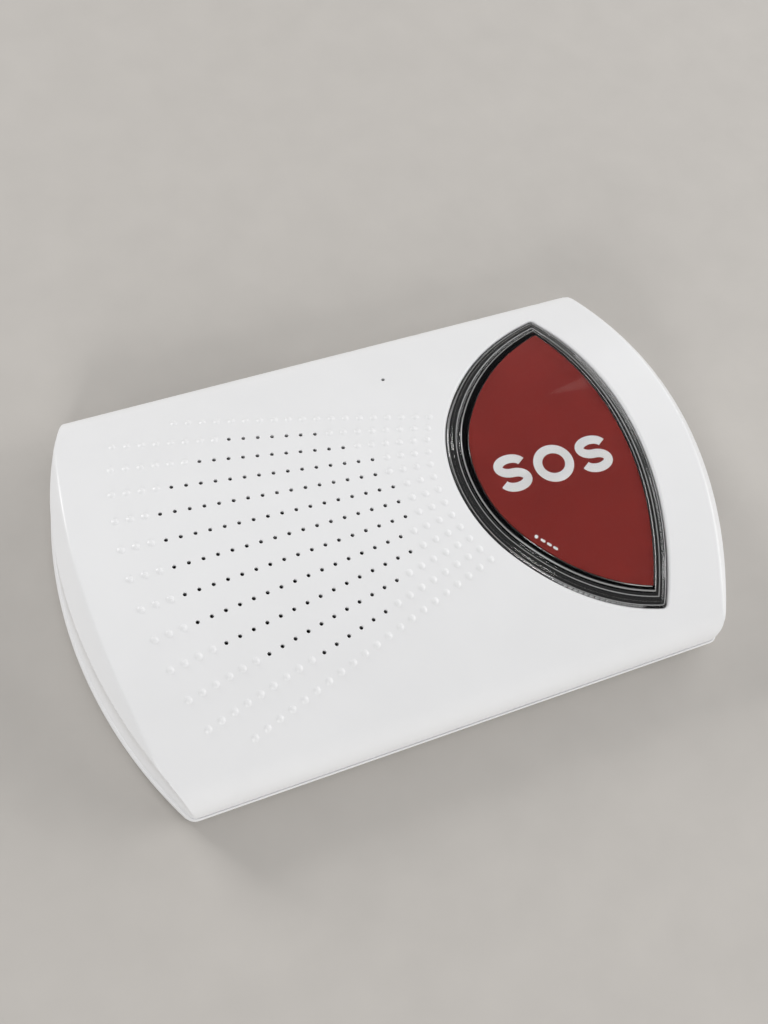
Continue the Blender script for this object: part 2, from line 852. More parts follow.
@dataclass(frozen=True)
class LensOutline:
    """Outline of the help button: an end-side arc, two tips, two flanks and a nose."""

    nose_x: float = 61.5
    nose_r: float = 43.0
    nose_angle: float = math.radians(36.0)
    flank_r: float = 77.0
    back_x: float = -64.2
    back_r: float = 148.1
    tip_r: float = 1.8
    least_tip_r: float = 0.3
    back_steps: int = 44
    tip_steps: int = 8
    flank_steps: int = 28
    nose_steps: int = 22

    def loop(self, grow: float, shift: float = 0.0) -> np.ndarray:
        """The outline grown by a distance.

        Args:
            grow: Distance outward.
            shift: Distance moved towards the end.

        Returns:
            The loop, counter-clockwise, always with as many points.
        """
        reach = math.pi - self.nose_angle
        back = np.array([self.back_x, 0.0])
        flank = np.array([self.nose_x, 0.0])
        flank = flank + (self.nose_r - self.flank_r) * np.array([math.cos(reach), math.sin(reach)])
        tip_r = max(self.tip_r + grow, self.least_tip_r)
        r0, r1 = self.flank_r + grow - tip_r, self.back_r + grow - tip_r
        gap = back - flank
        far = float(np.linalg.norm(gap))
        along = (r0 ** 2 - r1 ** 2 + far ** 2) / (2.0 * far)
        across = math.sqrt(r0 ** 2 - along ** 2)
        unit = gap / far
        ends = [flank + along * unit + s * across * np.array([-unit[1], unit[0]]) for s in (-1.0, 1.0)]
        tip = max(ends, key=lambda p: p[1])
        a_back = math.atan2(*(tip - back)[::-1])
        a_flank = math.atan2(*(tip - flank)[::-1])
        half = np.vstack([
            arc(back, self.back_r + grow, 0.0, a_back, self.back_steps)[:-1],
            arc(tip, tip_r, a_back, a_flank, self.tip_steps)[:-1],
            arc(flank, self.flank_r + grow, a_flank, reach, self.flank_steps)[:-1],
            arc((self.nose_x, 0.0), self.nose_r + grow, reach, math.pi, self.nose_steps),
        ])
        other = half[1:-1][::-1] * np.array([1.0, -1.0])
        return np.vstack([half, other]) + np.array([shift, 0.0])


@dataclass(frozen=True)
class Grille:
    """A fan of rows that start on an arc: sound holes over the speaker, raised dots outside."""

    fan_x: float = 100.1
    row_step: float = math.radians(2.98)
    start_r: float = 46.35
    start_in: float = 41.6
    pitch: float = 4.5
    rows: int = 6
    row_dots: int = 23
    back_row_dots: int = 19
    front_row_dots: int = 21
    field_x: float = -38.5
    field_y: float = 0.2
    field_r: float = 38.6
    hole_r: float = 0.625
    hole_round: float = 0.22
    dot_r: float = 1.15
    dot_rise: float = 0.45
    dot_foot: float = 0.2

    def places(self) -> tuple[np.ndarray, np.ndarray]:
        """Sets out the rows.

        Returns:
            Centres of the sound holes, and of the raised dots.
        """
        spots = []
        for row in range(-self.rows, self.rows + 1):
            angle = row * self.row_step
            count = {self.rows: self.back_row_dots, -self.rows: self.front_row_dots}.get(row, self.row_dots)
            start = self.start_in * math.cos(angle)
            start += math.sqrt(self.start_r ** 2 - (self.start_in * math.sin(angle)) ** 2)
            reach = start + self.pitch * np.arange(count)
            spots.append(np.stack([self.fan_x - reach * math.cos(angle), reach * math.sin(angle)], axis=1))
        every = np.vstack(spots)
        in_field = np.hypot(every[:, 0] - self.field_x, every[:, 1] - self.field_y) < self.field_r
        return every[in_field], every[~in_field]

    def dot(self, gap: np.ndarray) -> np.ndarray:
        """Height of a raised dot with a soft foot.

        Args:
            gap: Distances from its centre.

        Returns:
            The heights.
        """
        ball = (self.dot_r ** 2 + self.dot_rise ** 2) / (2.0 * self.dot_rise)
        cap = np.sqrt(np.maximum(ball ** 2 - gap ** 2, 0.0)) - (ball - self.dot_rise)
        foot = np.maximum(self.dot_foot - np.abs(cap), 0.0) ** 2 / (4.0 * self.dot_foot)
        return np.where(gap < self.dot_r + self.dot_foot, np.maximum(cap, 0.0) + foot, 0.0)

    def sink(self, gap: np.ndarray) -> np.ndarray:
        """Drop of a sound hole's rounded rim at a distance from its centre."""
        out = np.clip(self.hole_r + self.hole_round - gap, 0.0, self.hole_round)
        return self.hole_round - np.sqrt(self.hole_round ** 2 - out ** 2)


@dataclass
class TopCover:
    """The arched white cover with its grille, microphone hole, button opening and connector bay."""

    form: CaseForm
    button: LensOutline
    grille: Grille
    microphone: Spot = (12.9, 45.9)
    opening_round: float = 1.0
    field_step: float = 3.4
    field_reach: float = 106.0
    arch_rows: int = 36
    roll_rows: int = 11
    roll_from: float = math.radians(56.0)
    roll_to: float = math.radians(8.0)
    edge_clear: float = 2.8
    dot_clear: float = 2.3
    crease_clear: float = 2.0
    crease_reach: float = 64.0
    crease_steps: int = 87
    crease_end: float = 2.2
    inner_reach: Spot = (100.0, 60.0)
    inner_step: float = 6.0
    inner_clear: float = 2.0
    bore_clear: float = 1.5
    hair: float = 0.03
    slack: float = 0.01
    skirt_up: float = 0.3
    skin_corner: float = 0.5
    hole_steps: int = 12
    dot_rings: tuple[float, ...] = (1.0, 0.8, 0.6, 0.36)
    bore_rings: tuple[float, ...] = (0.4, 1.0)
    crease_rings: tuple[float, ...] = (-1.0, -0.5, -0.15, 0.15, 0.5, 1.0)
    side_lip: Pairs = ((0.0, -0.45), (0.28, -0.45), (0.36, -0.1), (0.46, -0.02), (0.6, 0.0), (0.8, -0.08),
                       (0.95, -0.3), (1.0, -0.6), (1.0, -1.3), (0.78, -1.5))
    end_lip: Pairs = ((0.0, 0.0), (0.06, 0.0), (0.12, 0.0), (0.18, 0.0), (0.26, -0.02), (0.34, -0.1), (0.5, -0.45),
                      (0.9, -1.15), (1.0, -1.3), (0.78, -1.5))
    lip_fall: float = 0.15
    skirt: float = field(init=False)

    def __post_init__(self) -> None:
        """Works out where the shoulders end above the lip."""
        self.skirt = self.form.side_at(self.form.lip_high + self.skirt_up)
        holes, self.dots = self.grille.places()
        self.holes = np.vstack([holes, [self.microphone]])

    def height(self, points: np.ndarray) -> np.ndarray:
        """Height of the dressed outer skin.

        Args:
            points: Places in plan.

        Returns:
            The heights.
        """
        form, x, y = self.form, points[:, 0], points[:, 1]
        gap, share = form.edge_gap(x, y, self.skirt)
        out = np.maximum(form.edge_round - gap, 0.0)
        drop = form.edge_round - np.sqrt(form.edge_round ** 2 - out ** 2)
        slope = form.crown_normal(x, y)[:, 2]
        z = form.crown(x, y) - share * drop / slope
        z += self.grille.dot(near_any(points, self.dots)) - self.grille.sink(near_any(points, self.holes))
        rim = np.maximum(self.opening_round - distance(points, self.button.loop(0.0)), 0.0)
        return z - (self.opening_round - np.sqrt(self.opening_round ** 2 - rim ** 2))

    def outlines(self) -> tuple[np.ndarray, np.ndarray, np.ndarray]:
        """Draws the cover in plan.

        Returns:
            Outlines of the wall, of the lip and of the inner skin.
        """
        form = self.form
        notch = form.side_at(form.bay_top)
        wall = form.outline(form.end_x, self.skirt, form.corner_r, notch)
        lip = form.outline(form.length / 2.0, form.depth / 2.0, form.corner_r + form.lip_out, notch)
        skin = form.outline(form.end_x - form.wall, form.side_at(form.lip_low, -form.wall),
                            form.corner_r - form.wall + self.skin_corner, form.side_at(form.bay_top, -form.wall))
        return wall, lip, skin

    def field_points(self, wall: np.ndarray) -> np.ndarray:
        """Points of the outer skin between its outline and its holes.

        Args:
            wall: Outline of the end walls and the skirt.

        Returns:
            The points.
        """
        form, steps = self.form, self.hole_steps
        rings = [0.05, 0.11, form.edge_round, 0.5, 1.1, 1.9]
        groups = [form.outline(form.end_x - d, self.skirt - d, form.corner_r - d, form.side_at(form.bay_top) - d)
                  for d in rings]
        lips = [0.06, 0.2, 0.42, 0.7, self.opening_round, 1.9]
        groups += [self.button.loop(d) for d in lips]
        ball = self.grille.dot_r + self.grille.dot_foot
        for centre in self.dots:
            groups += [circle(centre, ball * share, steps) for share in self.dot_rings]
            groups.append(centre[None])
        for centre in self.holes:
            groups += [circle(centre, self.grille.hole_r + self.grille.hole_round * share, steps)
                       for share in self.bore_rings]
        groups.append(self.crease_points())
        points = np.vstack([*groups, self.loose_points()])
        in_bay = (points[:, 0] > form.bay_low - self.hair) & (points[:, 0] < form.bay_high + self.hair)
        in_bay &= points[:, 1] > form.side_at(form.bay_top) - self.hair
        return points[inside(points, wall) & ~in_bay & (distance(points, wall) > self.hair)]

    def crease_points(self) -> np.ndarray:
        """Follows the two creases between the arch and the end bevels.

        Returns:
            The points.
        """
        form = self.form
        y = np.linspace(-self.crease_reach, self.crease_reach, self.crease_steps)
        groups = []
        for off in self.crease_rings:
            reach = form.bevel_r + (form.height - form.section(y)) / math.tan(form.bevel_angle) + off
            x = form.end_x - form.bevel_in - form.bevel_r + np.sqrt(reach ** 2 - y ** 2)
            keep = form.edge_gap(x, y, self.skirt)[0] > self.crease_end
            groups += [np.stack([side * x[keep], y[keep]], axis=1) for side in (-1.0, 1.0)]
        return np.vstack(groups)

    def loose_points(self) -> np.ndarray:
        """Lays an even field of points, closer on the shoulders, clear of every edge.

        Returns:
            The points.
        """
        form = self.form
        radius, at, _ = form.roll
        flat = np.linspace(-form.shoulder, form.shoulder, self.arch_rows)
        turn = np.linspace(self.roll_from, self.roll_to, self.roll_rows)
        shoulder = at + radius * np.cos(turn)
        rows = []
        for k, y in enumerate(np.concatenate([-shoulder, flat, shoulder])):
            x = np.arange((k % 2) * self.field_step / 2.0 - self.field_reach, self.field_reach, self.field_step)
            rows.append(np.stack([x, np.full(len(x), y)], axis=1))
        points = np.vstack(rows)
        keep = form.edge_gap(points[:, 0], points[:, 1], self.skirt)[0] > self.edge_clear
        keep &= np.abs(points[:, 1]) < self.skirt - self.edge_clear
        over_bay = points[:, 0] > form.bay_low - self.edge_clear
        over_bay &= points[:, 0] < form.bay_high + self.edge_clear
        keep &= ~over_bay | (points[:, 1] < form.side_at(form.bay_top) - self.edge_clear)
        opening = self.button.loop(0.0)
        keep &= ~inside(points, opening) & (distance(points, opening) > self.edge_clear)
        keep &= near_any(points, np.vstack([self.dots, self.holes])) > self.dot_clear
        keep &= np.abs(form.section(points[:, 1]) - form.bevel(points[:, 0], points[:, 1])) > self.crease_clear
        return points[keep]

    def build(self) -> None:
        """Builds the cover as one closed shell."""
        form, maker = self.form, MeshMaker()
        wall, lip, skin = self.outlines()
        opening = self.button.loop(0.0)
        bores = [circle(c, self.grille.hole_r, self.hole_steps) for c in self.holes]
        outer = fill([wall, opening, *bores], self.field_points(wall))
        top = maker.count
        loops = maker.sheet(outer, upright(*outer.points.T, self.height(outer.points)))
        plain = self.plain(outer.points)
        maker.know(top + np.flatnonzero(plain), form.crown_normal(*outer.points[plain].T))

        far = np.array(self.inner_reach)
        free = lattice(-far, far, self.inner_step)
        keep = inside(free, skin) & (distance(free, skin) > self.inner_clear) & ~inside(free, opening)
        keep &= (distance(free, opening) > self.inner_clear) & (near_any(free, self.holes) > self.bore_clear)
        inner = fill([skin, opening, *bores], free[keep])
        backs = maker.sheet(inner, upright(*inner.points.T, form.under(*inner.points.T)))
        for front, back in zip(loops[1:], backs[1:]):
            maker.strip(front, back)

        chain = form.around()
        edge = self.height(wall[chain])
        fall = np.minimum(self.lip_fall, 0.5 * np.maximum(edge - form.lip_high, 0.0))
        rows = [loops[0][chain], maker.add(upright(*wall[chain].T, edge - fall))]
        out = lip[chain] - wall[chain]
        at_end = np.abs(out[:, :1]) / np.linalg.norm(out, axis=1, keepdims=True)
        for side, end in zip(self.side_lip, self.end_lip):
            share, z = np.split(np.array(side) * (1.0 - at_end) + np.array(end) * at_end, 2, axis=1)
            rows.append(maker.add(upright(*(wall[chain] + share * out).T, form.lip_high + z[:, 0])))
        rows += [maker.ring(inset(skin, -self.lip_fall)[chain], form.lip_low), backs[0][chain]]
        maker.rows(rows, closed=False)
        maker.cheeks(rows)
        first, last = form.bay_span
        maker.strip(loops[0][first:last + 1], backs[0][first:last + 1], closed=False)
        mount(maker.finish("cover_shell"), WHITE, Body.CASE, "white_shell", "top_cover")

    def plain(self, points: np.ndarray) -> np.ndarray:
        """Tells which points lie on the bare crown, away from dots, holes and edges.

        Args:
            points: Places in plan.

        Returns:
            An array of booleans.
        """
        rest = self.form.edge_gap(points[:, 0], points[:, 1], self.skirt)[0] > self.form.edge_round - self.slack
        rest &= near_any(points, self.dots) > self.grille.dot_r + self.grille.dot_foot - self.slack
        rest &= near_any(points, self.holes) > self.grille.hole_r + self.grille.hole_round - self.slack
        rest &= distance(points, self.button.loop(0.0)) > self.opening_round - self.slack
        return rest


@dataclass
class HelpButton:
    """The lens-shaped button: clear stepped cap, red insert and its white print."""

    form: CaseForm
    outline: LensOutline
    shift: float = 1.25
    pocket: float = -6.1
    insert: float = -6.35
    cap_low: float = -2.75
    pocket_top: float = -0.35
    window_up: float = 0.9
    mask_out: float = -1.95
    mask_top: float = -1.0
    film_low: float = -0.9
    film_high: float = -0.4
    film_round: float = 0.08
    cap_sharp: float = 35.0
    grid: float = 3.0
    grid_clear: float = 2.6
    edge_rings: tuple[float, ...] = (0.25, 0.7, 1.4)
    soft_rows: tuple[int, ...] = (4, 13, 14, 23, 24)

    def on_arch(self, x: np.ndarray, y: np.ndarray, z: np.ndarray) -> np.ndarray:
        """Places a drawing in plan, with its heights above the arch."""
        return np.stack([x, y, self.form.arch(y) + z], axis=1)

    def steps(self) -> list[Spot]:
        """Draws the section of the cap's outside, from its foot to the window.

        Returns:
            Growth of the outline and height above the arch, for each row.
        """
        return [(-0.35, self.cap_low), (-0.35, -1.05), (-0.4, -0.82), (-0.53, -0.61), (-0.74, -0.46), (-1.0, -0.4),
                (-1.5, -0.4), (-1.7, -0.35), (-1.8, -0.24), (-1.84, -0.1), (-1.93, 0.07), (-2.1, 0.19), (-2.35, 0.25),
                (-3.05, 0.25), (-3.27, 0.2), (-3.43, 0.08), (-3.51, -0.1), (-3.55, -0.3), (-3.68, -0.4), (-4.2, -0.4),
                (-4.38, -0.34), (-4.44, -0.2), (-4.46, 0.3), (-4.52, 0.54), (-4.67, 0.73), (-4.88, 0.85),
                (-5.15, self.window_up)]

    def cap(self) -> None:
        """Builds the clear cap, with its window coated and the edges of its steps softened."""
        maker = MeshMaker()
        rows = [maker.ring(self.outline.loop(grow), z, self.on_arch) for grow, z in self.steps()[:-1]]
        window = self.sheet(maker, self.steps()[-1][0], 0.0, self.window_up)
        ceiling = self.sheet(maker, self.pocket, self.shift, self.pocket_top)
        coated = len(maker.faces)
        maker.rows(rows + [window])
        around = len(rows[0])
        soft = {coated + row * around + k for row in self.soft_rows for k in range(around)}
        foot = maker.ring(self.outline.loop(self.pocket, self.shift), self.cap_low, self.on_arch)
        maker.rows([rows[0], foot, ceiling])
        cap = mount(maker.finish("clear_cap", self.cap_sharp), CLEAR, Body.BUTTON, "clear_cap", "button_cap")
        for finish in (WINDOW, EDGE):
            cap.data.materials.append(finish.material())
        choice = [1 if k < coated else 2 * (k in soft) for k in range(len(cap.data.polygons))]
        cap.data.polygons.foreach_set("material_index", choice)

    def mask(self) -> None:
        """Builds the black print on the inside of the cap's rim."""
        maker, rows = MeshMaker(), []
        pocket, foot, top, shift = self.pocket + 0.2, self.cap_low + 0.05, self.mask_top, self.shift
        lining, sole = pocket - 0.08, foot + 0.1
        for grow, moved, z in ((self.mask_out, 0.0, foot), (self.mask_out, 0.0, sole), (pocket, shift, sole),
                               (pocket, shift, top), (lining, shift, top), (lining, shift, foot)):
            rows.append(maker.ring(self.outline.loop(grow, moved), z, self.on_arch))
        maker.rows(rows + [rows[0]])
        mount(maker.finish("cap_mask"), MASK, Body.BUTTON, "dark_carrier")

    def sheet(self, maker: MeshMaker, grow: float, shift: float, z: float) -> np.ndarray:
        """Adds a face that follows the arch, with rings of points close to its edge.

        Args:
            maker: The mesh in the making.
            grow: Growth of the face's outline.
            shift: Distance by which the outline is moved towards the end.
            z: Height of the face above the arch.

        Returns:
            The indices of the outline's points.
        """
        loop = self.outline.loop(grow, shift)
        free = lattice(loop.min(axis=0), loop.max(axis=0), self.grid)
        free = free[inside(free, loop) & (distance(free, loop) > self.grid_clear)]
        rings = [self.outline.loop(grow - back, shift) for back in self.edge_rings]
        area = fill([loop], np.vstack([*rings, free]))
        start = maker.count
        index = maker.level(area, z, self.on_arch)[0]
        tilt = area.points[:, 1] / (self.form.arch_r + z)
        normal = np.stack([np.zeros(len(tilt)), tilt, np.sqrt(1.0 - tilt ** 2)], axis=1)
        inner = np.arange(len(tilt)) if z > 0.0 else np.setdiff1d(np.arange(len(tilt)), area.loops[0])
        maker.know(start + inner, normal[inner] if z > 0.0 else -normal[inner])
        return index

    def red_insert(self) -> None:
        """Builds the red film under the window."""
        maker = MeshMaker()
        maker.slab(self.outline.loop(self.insert, self.shift), [], self.film_low, self.film_high, self.film_round,
                   self.on_arch, self.grid)
        mount(maker.finish("red_film"), RED, Body.BUTTON, "red_insert", "button_insert")

    def build(self) -> None:
        """Builds all the pieces of the button."""
        self.cap()
        self.mask()
        self.red_insert()
        HelpPrint(self).build()


@dataclass
class HelpPrint:
    """White print on the red insert: three plain call letters and a small mark by the lamp."""

    button: HelpButton
    start: Spot = (31.6, -7.6)
    end: Spot = (71.6, -9.6)
    letter_h: float = 12.9
    stroke: float = 3.0
    s_width: float = 11.4
    s_open: float = 18.0
    s_steps: int = 29
    o_steps: int = 48
    gap: float = 1.8
    low: float = -0.41
    high: float = -0.375
    rim: float = 0.01
    dot_r: float = 0.6
    dot_steps: int = 20
    bars: int = 3
    bar_from: float = 2.2
    bar_low: float = 0.2
    bar_high: float = 1.0
    bar_length: float = 1.7
    bar_round: float = 0.35
    mark_start: Spot = (36.1, -23.2)
    mark_end: Spot = (42.4, -29.8)

    def letter_s(self, left: float) -> list[np.ndarray]:
        """Draws an S.

        Args:
            left: Start of its box on the base line.

        Returns:
            Its outline, in a list.
        """
        half_w, half_h = (self.s_width - self.stroke) / 2.0, (self.letter_h - self.stroke) / 4.0
        mid = np.array([left + self.s_width / 2.0, self.letter_h / 2.0])
        upper = np.radians(np.linspace(self.s_open, 270.0, self.s_steps))
        lower = np.radians(np.linspace(90.0, self.s_open - 180.0, self.s_steps))[1:]
        path = np.vstack([
            mid + np.stack([half_w * np.cos(upper), half_h + half_h * np.sin(upper)], axis=1),
            mid + np.stack([half_w * np.cos(lower), half_h * np.sin(lower) - half_h], axis=1),
        ])
        way = np.gradient(path, axis=0)
        way /= np.linalg.norm(way, axis=1, keepdims=True)
        side = np.stack([-way[:, 1], way[:, 0]], axis=1) * self.stroke / 2.0
        return [np.vstack([path - side, (path + side)[::-1]])]

    def letter_o(self, left: float, width: float) -> list[np.ndarray]:
        """Draws an O.

        Args:
            left: Start of its box on the base line.
            width: Width of its box.

        Returns:
            Its outline and its counter.
        """
        mid = np.array([left + width / 2.0, self.letter_h / 2.0])
        ring, out = circle((0.0, 0.0), 1.0, self.o_steps), np.array([width, self.letter_h]) / 2.0
        return [mid + ring * out, mid + ring * (out - self.stroke)]

    def build(self) -> None:
        """Builds the letters and the mark as two pieces."""
        start, end = np.array(self.start), np.array(self.end)
        total = float(np.linalg.norm(end - start))
        o_width = total - 2.0 * (self.s_width + self.gap)
        o_left = self.s_width + self.gap
        letters = [self.letter_s(0.0), self.letter_o(o_left, o_width),
                   self.letter_s(o_left + o_width + self.gap)]
        self.lay("call_letters", letters, start, (end - start) / total)
        start, end = np.array(self.mark_start), np.array(self.mark_end)
        total = float(np.linalg.norm(end - start))
        marks = [[circle((self.dot_r, self.dot_r), self.dot_r, self.dot_steps)]]
        for k in range(self.bars):
            left = self.bar_from + k * (total - self.bar_from) / self.bars
            marks.append([round_rect((left, self.bar_low), (left + self.bar_length, self.bar_high), self.bar_round)])
        self.lay("lamp_mark", marks, start, (end - start) / total)

    def lay(self, name: str, shapes: Sequence[Sequence[np.ndarray]], start: np.ndarray, way: np.ndarray) -> None:
        """Lays flat shapes on the insert along a base line.

        Args:
            name: Name of the piece.
            shapes: Loops of each shape, the outline first.
            start: Start of the base line.
            way: Direction of the base line.
        """
        maker = MeshMaker()
        turn = np.array([[way[0], way[1]], [-way[1], way[0]]])
        for loops in shapes:
            laid = [start + loop @ turn for loop in loops]
            maker.slab(laid[0], laid[1:], self.low, self.high, self.rim, self.button.on_arch)
        mount(maker.finish(name), PRINT, Body.BUTTON, "red_insert")


@dataclass
class BottomHousing:
    """The white tray below the parting groove, with its feet, door, screws and keyholes."""

    form: CaseForm
    low: float = 1.5
    floor: float = 4.0
    high: float = 5.1
    tuck_end: float = 0.4
    tuck_side: float = 1.3
    rim: float = 3.4
    foot_r: float = 6.0
    foot_sink: float = 1.0
    foot_gap: float = 0.12
    foot_steps: int = 40
    chamfer: float = 0.15
    base_in: float = 0.6
    corner_r: float = 3.5
    corner_in: float = 2.5
    bay_step: float = 0.05
    post_r: float = 3.2
    post_top: float = 3.9
    post_steps: int = 28
    posts: Pairs = ((-84.0, -50.0), (-84.0, 50.0), (84.0, -50.0), (84.0, 50.0), (0.0, 57.0), (-10.0, -57.0))
    feet: Pairs = ((-62.0, -56.0), (-62.0, 56.0), (62.0, -56.0), (62.0, 56.0))
    keyholes: Pairs = ((-66.0, 18.0), (14.0, 18.0))
    door_low: Spot = (-96.0, -42.5)
    door_high: Spot = (-75.0, 42.5)
    door_screw: Spot = (-85.5, 37.0)
    door_screw_r: float = 2.8
    door_sink: float = 1.6
    door_thick: float = 1.5
    door_round: float = 1.2
    door_gap: float = 0.25
    soft: float = 0.2
    ribs: int = 6
    rib_x: Spot = (-91.5, -79.5)
    rib_first: float = 7.0
    rib_step: float = 2.2
    rib_width: float = 0.9
    rib_round: float = 0.44
    rib_out: float = 0.35
    rib_in: float = 0.3
    key_head: float = 4.25
    key_slot: float = 2.15
    key_reach: float = 8.0
    tongue_gap: float = 0.3
    tongue_thick: float = 1.6
    tongue_rise: float = 1.0
    tongue_side: float = 0.7
    tongue_round: float = 1.0

    def loop(self, back: float) -> np.ndarray:
        """Outline of the tray.

        Args:
            back: Distance by which it is drawn in.

        Returns:
            The loop, counter-clockwise.
        """
        half_l = self.form.length / 2.0 - self.tuck_end - back
        half_d = self.form.depth / 2.0 - self.tuck_side - back
        return self.form.outline(half_l, half_d, self.corner_r - min(back, self.corner_in), half_d - self.bay_step)

    def keyhole(self, at: Sequence[float]) -> np.ndarray:
        """Outline of a wall keyhole: a round head hole with a slot towards the back.

        Args:
            at: Centre of the head hole.

        Returns:
            The loop, counter-clockwise.
        """
        lean = math.asin(self.key_slot / self.key_head)
        bottom = arc(at, self.key_head, math.pi / 2.0 + lean, 2.5 * math.pi - lean, 30)
        return np.vstack([bottom, arc((at[0], at[1] + self.key_reach), self.key_slot, 0.0, math.pi, 12)])

    def build(self) -> None:
        """Builds the tray and what is fixed to its underside."""
        maker = MeshMaker()
        pockets = [(circle(p, self.post_r, self.post_steps), self.post_top) for p in self.posts]
        foot_hole, foot_top = self.foot_r + self.foot_gap, self.low + self.foot_sink
        pockets += [(circle(p, foot_hole, self.foot_steps), foot_top) for p in self.feet]
        pockets.append((round_rect(self.door_low, self.door_high, self.door_round), self.low + self.door_sink))
        keyholes = [self.keyhole(p) for p in self.keyholes]
        holes = [inset(loop, -self.chamfer) for loop in [pocket for pocket, _ in pockets] + keyholes]
        base = maker.level(fill([self.loop(self.base_in), *holes]), self.low)
        for (loop, top), rim in zip(pockets, base[1:]):
            lead = maker.ring(loop, self.low + self.chamfer)
            maker.rows([rim, lead, maker.level(fill([loop]), top)[0]])
        tray = maker.level(fill([self.loop(self.rim), *keyholes]), self.floor)
        for loop, rim, top in zip(keyholes, base[1 + len(pockets):], tray[1:]):
            maker.rows([rim, maker.ring(loop, self.low + self.chamfer), top])
        profile = [(0.18, self.low + 0.18), (0.0, self.low + 0.6), (0.0, self.high - 0.2), (0.06, self.high - 0.06),
                   (0.2, self.high), (self.rim, self.high)]
        maker.rows([base[0], *(maker.ring(self.loop(back), z) for back, z in profile), tray[0]])
        self.tongue(maker)
        mount(maker.finish("base_tray"), WHITE, Body.CASE, "white_shell", "bottom_housing")
        self.door()
        for k, place in enumerate(self.feet):
            self.foot(k + 1, place)

    def tongue(self, maker: MeshMaker) -> None:
        """Adds the tongue that stands inside the cover's wall and is open at the bay.

        Args:
            maker: The mesh in the making.
        """
        form, rows = self.form, []
        gap, thick, top = form.wall + self.tongue_gap, self.tongue_thick, form.lip_high + self.tongue_rise
        for back, z in ((gap, self.floor), (gap, top), (gap + thick, top), (gap + thick, self.floor)):
            half_d = form.depth / 2.0 - back - self.tongue_side
            ring = form.outline(form.end_x - back, half_d, self.tongue_round, form.bay_face)
            rows.append(maker.ring(ring[form.around()], z))
        maker.rows(rows + [rows[0]], closed=False)
        maker.cheeks(rows)

    def door(self) -> None:
        """Builds the battery door with its grip ribs and the sunk hole for its screw."""
        maker, gap = MeshMaker(), self.door_gap
        low = (self.door_low[0] + gap, self.door_low[1] + gap)
        high = (self.door_high[0] - gap, self.door_high[1] - gap)
        hole = circle(self.door_screw, self.door_screw_r, self.post_steps)
        maker.slab(round_rect(low, high, 1.0), [hole], self.low, self.low + self.door_thick, self.soft)
        for k in range(self.ribs):
            y = self.door_low[1] + self.rib_first + self.rib_step * k
            rib = round_rect((self.rib_x[0], y), (self.rib_x[1], y + self.rib_width), self.rib_round)
            maker.slab(rib, [], self.low - self.rib_out, self.low + self.rib_in, self.soft)
        mount(maker.finish("cell_door"), WHITE, Body.CASE, "white_shell", "battery_door")

    def foot(self, number: int, place: Sequence[float]) -> None:
        """Builds one rubber foot with a round edge and a shallow ring in its sole.

        Args:
            number: Number of the foot.
            place: Its centre.
        """
        maker, r, top = MeshMaker(), self.foot_r, self.low + self.foot_sink
        profile = [(0.6, 0.25), (2.6, 0.25), (2.9, 0.1), (3.2, 0.0), (r - 0.7, 0.0), (r - 0.35, 0.1),
                   (r - 0.1, 0.35), (r, 0.7), (r, top - 0.1), (r - 0.1, top), (0.6, top)]
        maker.lathe(profile, self.foot_steps, place)
        node = f"rubber_foot_{number}"
        mount(maker.finish(f"foot_pad_{number}"), RUBBER, Body.CASE, "foot_rubber", node)


@dataclass
class ConnectorBay:
    """The sunk panel at the back with its power jack, power switch and line jack."""

    form: CaseForm
    thick: float = 2.0
    power: Spot = (-58.0, 9.4)
    power_r: float = 4.25
    line_from: float = -29.85
    line_to: float = -16.15
    line_top: float = 14.35
    slot_low: Spot = (-42.3, 9.8)
    slot_high: Spot = (-34.7, 12.4)
    slot_round: float = 0.3
    soft: float = 0.2
    tuck: float = 0.1
    hair: float = 0.02
    roof_in: float = 0.3
    roof_over: float = 0.2
    roof_soft: float = 0.05
    cheek_in: float = 0.5
    cheek_under: float = -0.6
    cheek_steps: int = 24
    collar_steps: int = 36

    def build(self) -> None:
        """Builds the panel, the cheeks and the roof of the bay."""
        form, maker = self.form, MeshMaker()
        face, back = form.bay_face, form.bay_face - self.thick
        low, high = form.bay_low - self.thick + self.tuck, form.bay_high + self.thick - self.tuck
        top = form.bay_top + self.thick
        mouth = math.asin((self.power[1] - form.lip_low) / self.power_r)
        collar = arc(self.power, self.power_r, math.pi + mouth, -mouth, self.collar_steps)
        outline = np.vstack([[(low, form.lip_low)], collar, [
            (self.line_from, form.lip_low), (self.line_from, self.line_top), (self.line_to, self.line_top),
            (self.line_to, form.lip_low), (high, form.lip_low), (high, top), (low, top)]])
        holes = [round_rect(self.slot_low, self.slot_high, self.slot_round, 3)]
        maker.slab(outline, holes, back, face, self.soft, facing_back)
        inner = form.side_at(form.bay_top, -form.wall)
        roof = round_rect((low, face - self.roof_in), (high, inner + self.roof_over), self.roof_soft, 1)
        maker.slab(roof, [], form.bay_top + self.hair, top, self.roof_soft)
        start, end = form.side_at(form.lip_low, self.cheek_under), face - self.cheek_in
        y = np.linspace(start, end, self.cheek_steps)
        edge = np.stack([y, np.minimum(form.section(y, self.cheek_under), top - self.tuck)], axis=1)
        cheek = np.vstack([[[end, form.lip_low], [start, form.lip_low]], edge])
        for x in (form.bay_low - self.thick, form.bay_high + self.hair):
            maker.slab(cheek, [], x, x + self.thick - self.hair, self.hair, facing_end)
        mount(maker.finish("bay_panel"), WHITE, Body.CASE, "white_shell")


